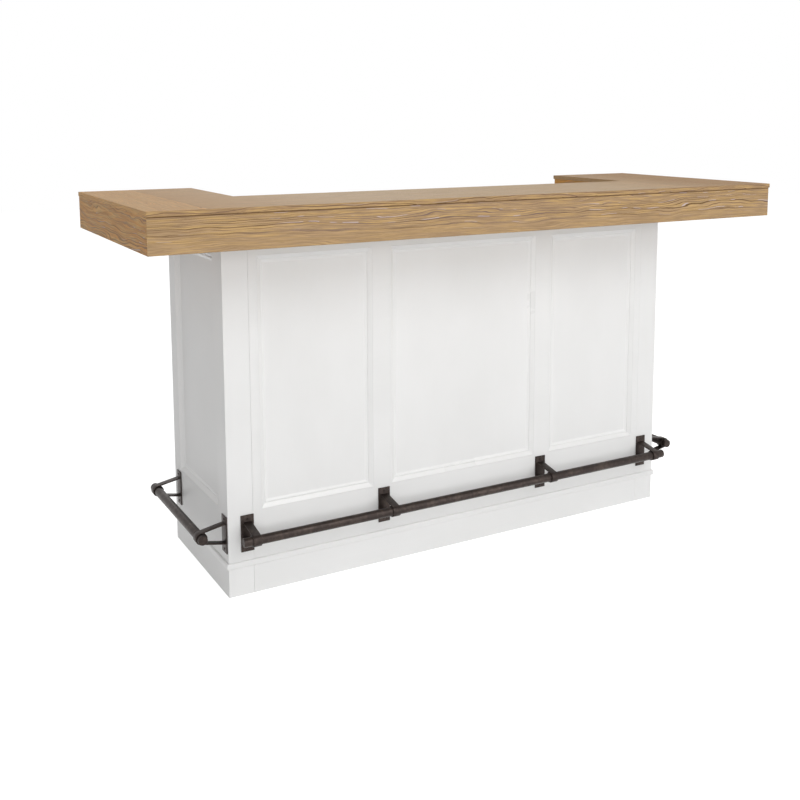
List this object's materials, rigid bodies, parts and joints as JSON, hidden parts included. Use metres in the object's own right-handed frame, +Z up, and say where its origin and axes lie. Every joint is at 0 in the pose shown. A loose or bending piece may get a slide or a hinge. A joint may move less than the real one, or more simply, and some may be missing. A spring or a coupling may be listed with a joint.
{
  "type": "bar counter",
  "caption": "U-shaped wooden bar counter on a white panelled body, with a metal foot rail on brackets, and drawers, doors and open shelves on the server's side.",
  "frame": {"origin": "on the floor, under the centre of the bounding box", "axes": "+X along the counter, to the right of a customer who faces its front; +Y from the customer's side to the server's side; +Z up"},
  "size_m": [1.9812, 0.7112, 1.0668],
  "materials": {
    "worktop": "oak veneer, matt lacquer, long cathedral grain",
    "body": "white satin paint on wood",
    "inside": "white satin paint on board",
    "fronts": "white satin paint on wood",
    "rail": "dark bronze, rubbed",
    "fittings": "dark bronze"
  },
  "bodies": {
    "counter": {"top_left": "worktop", "top_right": "worktop", "top_centre": "worktop", "apron_front": "worktop", "apron_left": "worktop", "apron_right": "worktop", "apron_rear_left": "worktop", "apron_rear_right": "worktop", "apron_inner_left": "worktop", "apron_inner_right": "worktop", "apron_inner_centre": "worktop", "post_left": "body", "post_right": "body", "front_frame": "body", "front_panel_left": "body", "front_panel_centre": "body", "front_panel_right": "body", "front_moulding_left": "body", "front_moulding_centre": "body", "front_moulding_right": "body", "side_frame_left": "body", "side_frame_right": "body", "side_panel_left": "body", "side_panel_right": "body", "side_moulding_left": "body", "side_moulding_right": "body", "cap_front": "body", "cap_left": "body", "cap_right": "body", "bottom_board": "inside", "work_top": "inside", "kick_board": "inside", "divider_left": "inside", "divider_right": "inside", "drawer_deck_left": "inside", "drawer_deck_right": "inside", "centre_shelf": "inside", "rail_front": "rail", "rail_left": "rail", "rail_right": "rail", "bracket_front_1": "rail", "bracket_front_2": "rail", "bracket_front_3": "rail", "bracket_front_4": "rail", "bracket_left_1": "rail", "bracket_left_2": "rail", "bracket_right_1": "rail", "bracket_right_2": "rail", "door_left_hinge": "fittings", "door_right_hinge": "fittings"},
    "door_left": {"door_left": "fronts", "door_left_knob": "fittings", "door_left_leaf": "fittings"},
    "door_right": {"door_right": "fronts", "door_right_knob": "fittings", "door_right_leaf": "fittings"},
    "drawer_left": {"drawer_left": "fronts", "drawer_left_knob": "fittings"},
    "drawer_right": {"drawer_right": "fronts", "drawer_right_knob": "fittings"}
  },
  "joints": [
    {"name": "door_left_swing", "type": "hinge", "parent": "counter", "child": "door_left", "pos_m": [-0.7178, 0.3344, 0.4092], "axis": [0, 0, 1], "range_deg": [0, 100]},
    {"name": "door_right_swing", "type": "hinge", "parent": "counter", "child": "door_right", "pos_m": [0.7178, 0.3344, 0.4092], "axis": [0, 0, -1], "range_deg": [0, 100]},
    {"name": "drawer_left_slide", "type": "slide", "parent": "counter", "child": "drawer_left", "axis": [0, 1, 0], "range_m": [0, 0.27]},
    {"name": "drawer_right_slide", "type": "slide", "parent": "counter", "child": "drawer_right", "axis": [0, 1, 0], "range_m": [0, 0.27]}
  ]
}
